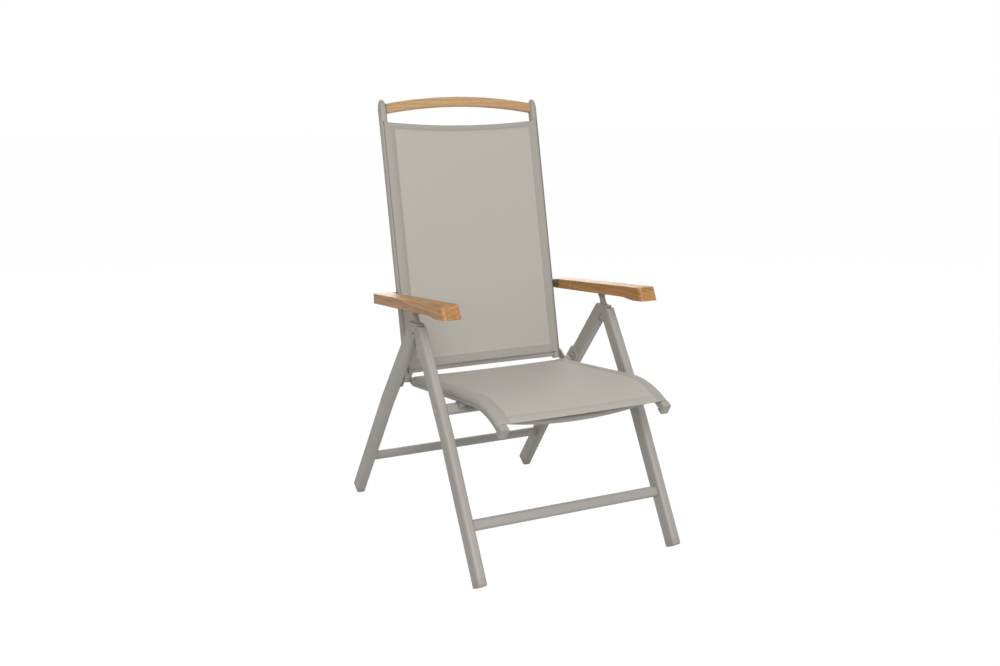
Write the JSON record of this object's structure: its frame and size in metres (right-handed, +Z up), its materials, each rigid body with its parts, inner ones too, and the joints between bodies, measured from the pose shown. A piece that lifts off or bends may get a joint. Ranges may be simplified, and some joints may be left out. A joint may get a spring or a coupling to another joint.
{
  "type": "garden armchair",
  "caption": "Folding, reclining garden armchair with a coated metal frame, stretched mesh seat and back slings, and hardwood arms and top rail.",
  "frame": {"origin": "on the floor, on the mirror plane, midway between the front and rear feet", "axes": "+Z up from the floor, the sitter looks along -Y, +X is the sitter's left"},
  "size_m": [0.594, 0.8166, 1.1072],
  "materials": {
    "coated_metal": "satin",
    "mesh_cloth": "woven, matt",
    "hardwood": "oiled, satin",
    "moulded_plastic": "fine grain, matt",
    "bearing_bronze": "oiled sintered bronze, matt",
    "edge_rod": "smooth, matt",
    "steel_fastener": "satin"
  },
  "bodies": {
    "rear_leg_frame": {"right_rear_leg": "coated_metal", "right_rear_casting": "moulded_plastic", "right_rear_foot": "moulded_plastic", "right_arm_post": "moulded_plastic", "right_pivot_bracket": "coated_metal", "left_rear_leg": "coated_metal", "left_rear_casting": "moulded_plastic", "left_rear_foot": "moulded_plastic", "left_arm_post": "moulded_plastic", "left_pivot_bracket": "coated_metal", "rear_stretcher": "coated_metal", "hinge_pins": "steel_fastener", "bracket_screws": "steel_fastener"},
    "front_leg_frame": {"right_front_leg": "coated_metal", "right_front_casting": "moulded_plastic", "right_front_foot": "moulded_plastic", "left_front_leg": "coated_metal", "left_front_casting": "moulded_plastic", "left_front_foot": "moulded_plastic", "front_stretcher": "coated_metal", "rest_tube": "coated_metal", "rest_tube_bolts": "steel_fastener"},
    "seat_frame": {"right_seat_rail": "coated_metal", "right_seat_front_cap": "moulded_plastic", "right_seat_lug": "coated_metal", "left_seat_rail": "coated_metal", "left_seat_front_cap": "moulded_plastic", "left_seat_lug": "coated_metal", "seat_rear_caps": "moulded_plastic", "seat_front_spreader": "coated_metal", "seat_rear_spreader": "coated_metal", "seat_sling": "mesh_cloth", "seat_edge_rods": "edge_rod", "seat_saddles": "moulded_plastic"},
    "pivot_carrier": {"right_pivot_bolt": "steel_fastener", "left_pivot_bolt": "steel_fastener", "pivot_sleeves": "steel_fastener"},
    "back_frame": {"right_back_rail": "coated_metal", "right_rail_tip": "moulded_plastic", "right_back_plate": "coated_metal", "left_back_rail": "coated_metal", "left_rail_tip": "moulded_plastic", "left_back_plate": "coated_metal", "back_lower_caps": "moulded_plastic", "back_spreader": "coated_metal", "back_sling": "mesh_cloth", "back_edge_rods": "edge_rod", "top_rail": "hardwood", "top_rail_screws": "steel_fastener"},
    "right_arm_bolt_body": {"right_arm_bolt": "steel_fastener"},
    "right_arm_bush_body": {"right_arm_bush": "bearing_bronze"},
    "right_arm": {"right_armrest": "hardwood", "right_rack": "steel_fastener", "right_rack_screws": "steel_fastener"},
    "left_arm_bolt_body": {"left_arm_bolt": "steel_fastener"},
    "left_arm_bush_body": {"left_arm_bush": "bearing_bronze"},
    "left_arm": {"left_armrest": "hardwood", "left_rack": "steel_fastener", "left_rack_screws": "steel_fastener"}
  },
  "joints": [
    {"name": "leg_fold", "type": "hinge", "parent": "rear_leg_frame", "child": "front_leg_frame", "pos_m": [0, -0.04613, 0.531], "axis": [1, 0, 0], "range_deg": [0, 66]},
    {"name": "seat_fold", "type": "hinge", "parent": "rear_leg_frame", "child": "seat_frame", "pos_m": [0, 0.10087, 0.3895], "axis": [1, 0, 0], "range_deg": [-46.2, 0]},
    {"name": "back_fold", "type": "hinge", "parent": "rear_leg_frame", "child": "pivot_carrier", "pos_m": [0, 0.10087, 0.3895], "axis": [1, 0, 0], "range_deg": [0, 38.94]},
    {"name": "back_recline", "type": "hinge", "parent": "pivot_carrier", "child": "back_frame", "pos_m": [0, 0.10087, 0.3895], "axis": [1, 0, 0], "range_deg": [-30, 0]},
    {"name": "right_arm_level", "type": "hinge", "parent": "back_frame", "child": "right_arm_bolt_body", "pos_m": [-0.27225, 0.16549, 0.595], "axis": [1, 0, 0], "range_deg": [0, 19.5]},
    {"name": "right_arm_fold", "type": "hinge", "parent": "right_arm_bolt_body", "child": "right_arm_bush_body", "pos_m": [-0.27225, 0.16549, 0.595], "axis": [1, 0, 0], "range_deg": [-92.4, 0]},
    {"name": "right_arm_lift", "type": "hinge", "parent": "right_arm_bush_body", "child": "right_arm", "pos_m": [-0.27225, 0.16549, 0.595], "axis": [-1, 0, 0], "range_deg": [0, 25]},
    {"name": "left_arm_level", "type": "hinge", "parent": "back_frame", "child": "left_arm_bolt_body", "pos_m": [0.27225, 0.16549, 0.595], "axis": [1, 0, 0], "range_deg": [0, 19.5]},
    {"name": "left_arm_fold", "type": "hinge", "parent": "left_arm_bolt_body", "child": "left_arm_bush_body", "pos_m": [0.27225, 0.16549, 0.595], "axis": [1, 0, 0], "range_deg": [-92.4, 0]},
    {"name": "left_arm_lift", "type": "hinge", "parent": "left_arm_bush_body", "child": "left_arm", "pos_m": [0.27225, 0.16549, 0.595], "axis": [-1, 0, 0], "range_deg": [0, 25]}
  ],
  "couplings": [
    {"joint": "seat_fold", "follows": "leg_fold", "ratio": -0.7},
    {"joint": "back_fold", "follows": "leg_fold", "ratio": 0.59},
    {"joint": "right_arm_level", "follows": "back_recline", "ratio": -0.65},
    {"joint": "right_arm_fold", "follows": "leg_fold", "ratio": -1.4},
    {"joint": "left_arm_level", "follows": "back_recline", "ratio": -0.65},
    {"joint": "left_arm_fold", "follows": "leg_fold", "ratio": -1.4}
  ]
}
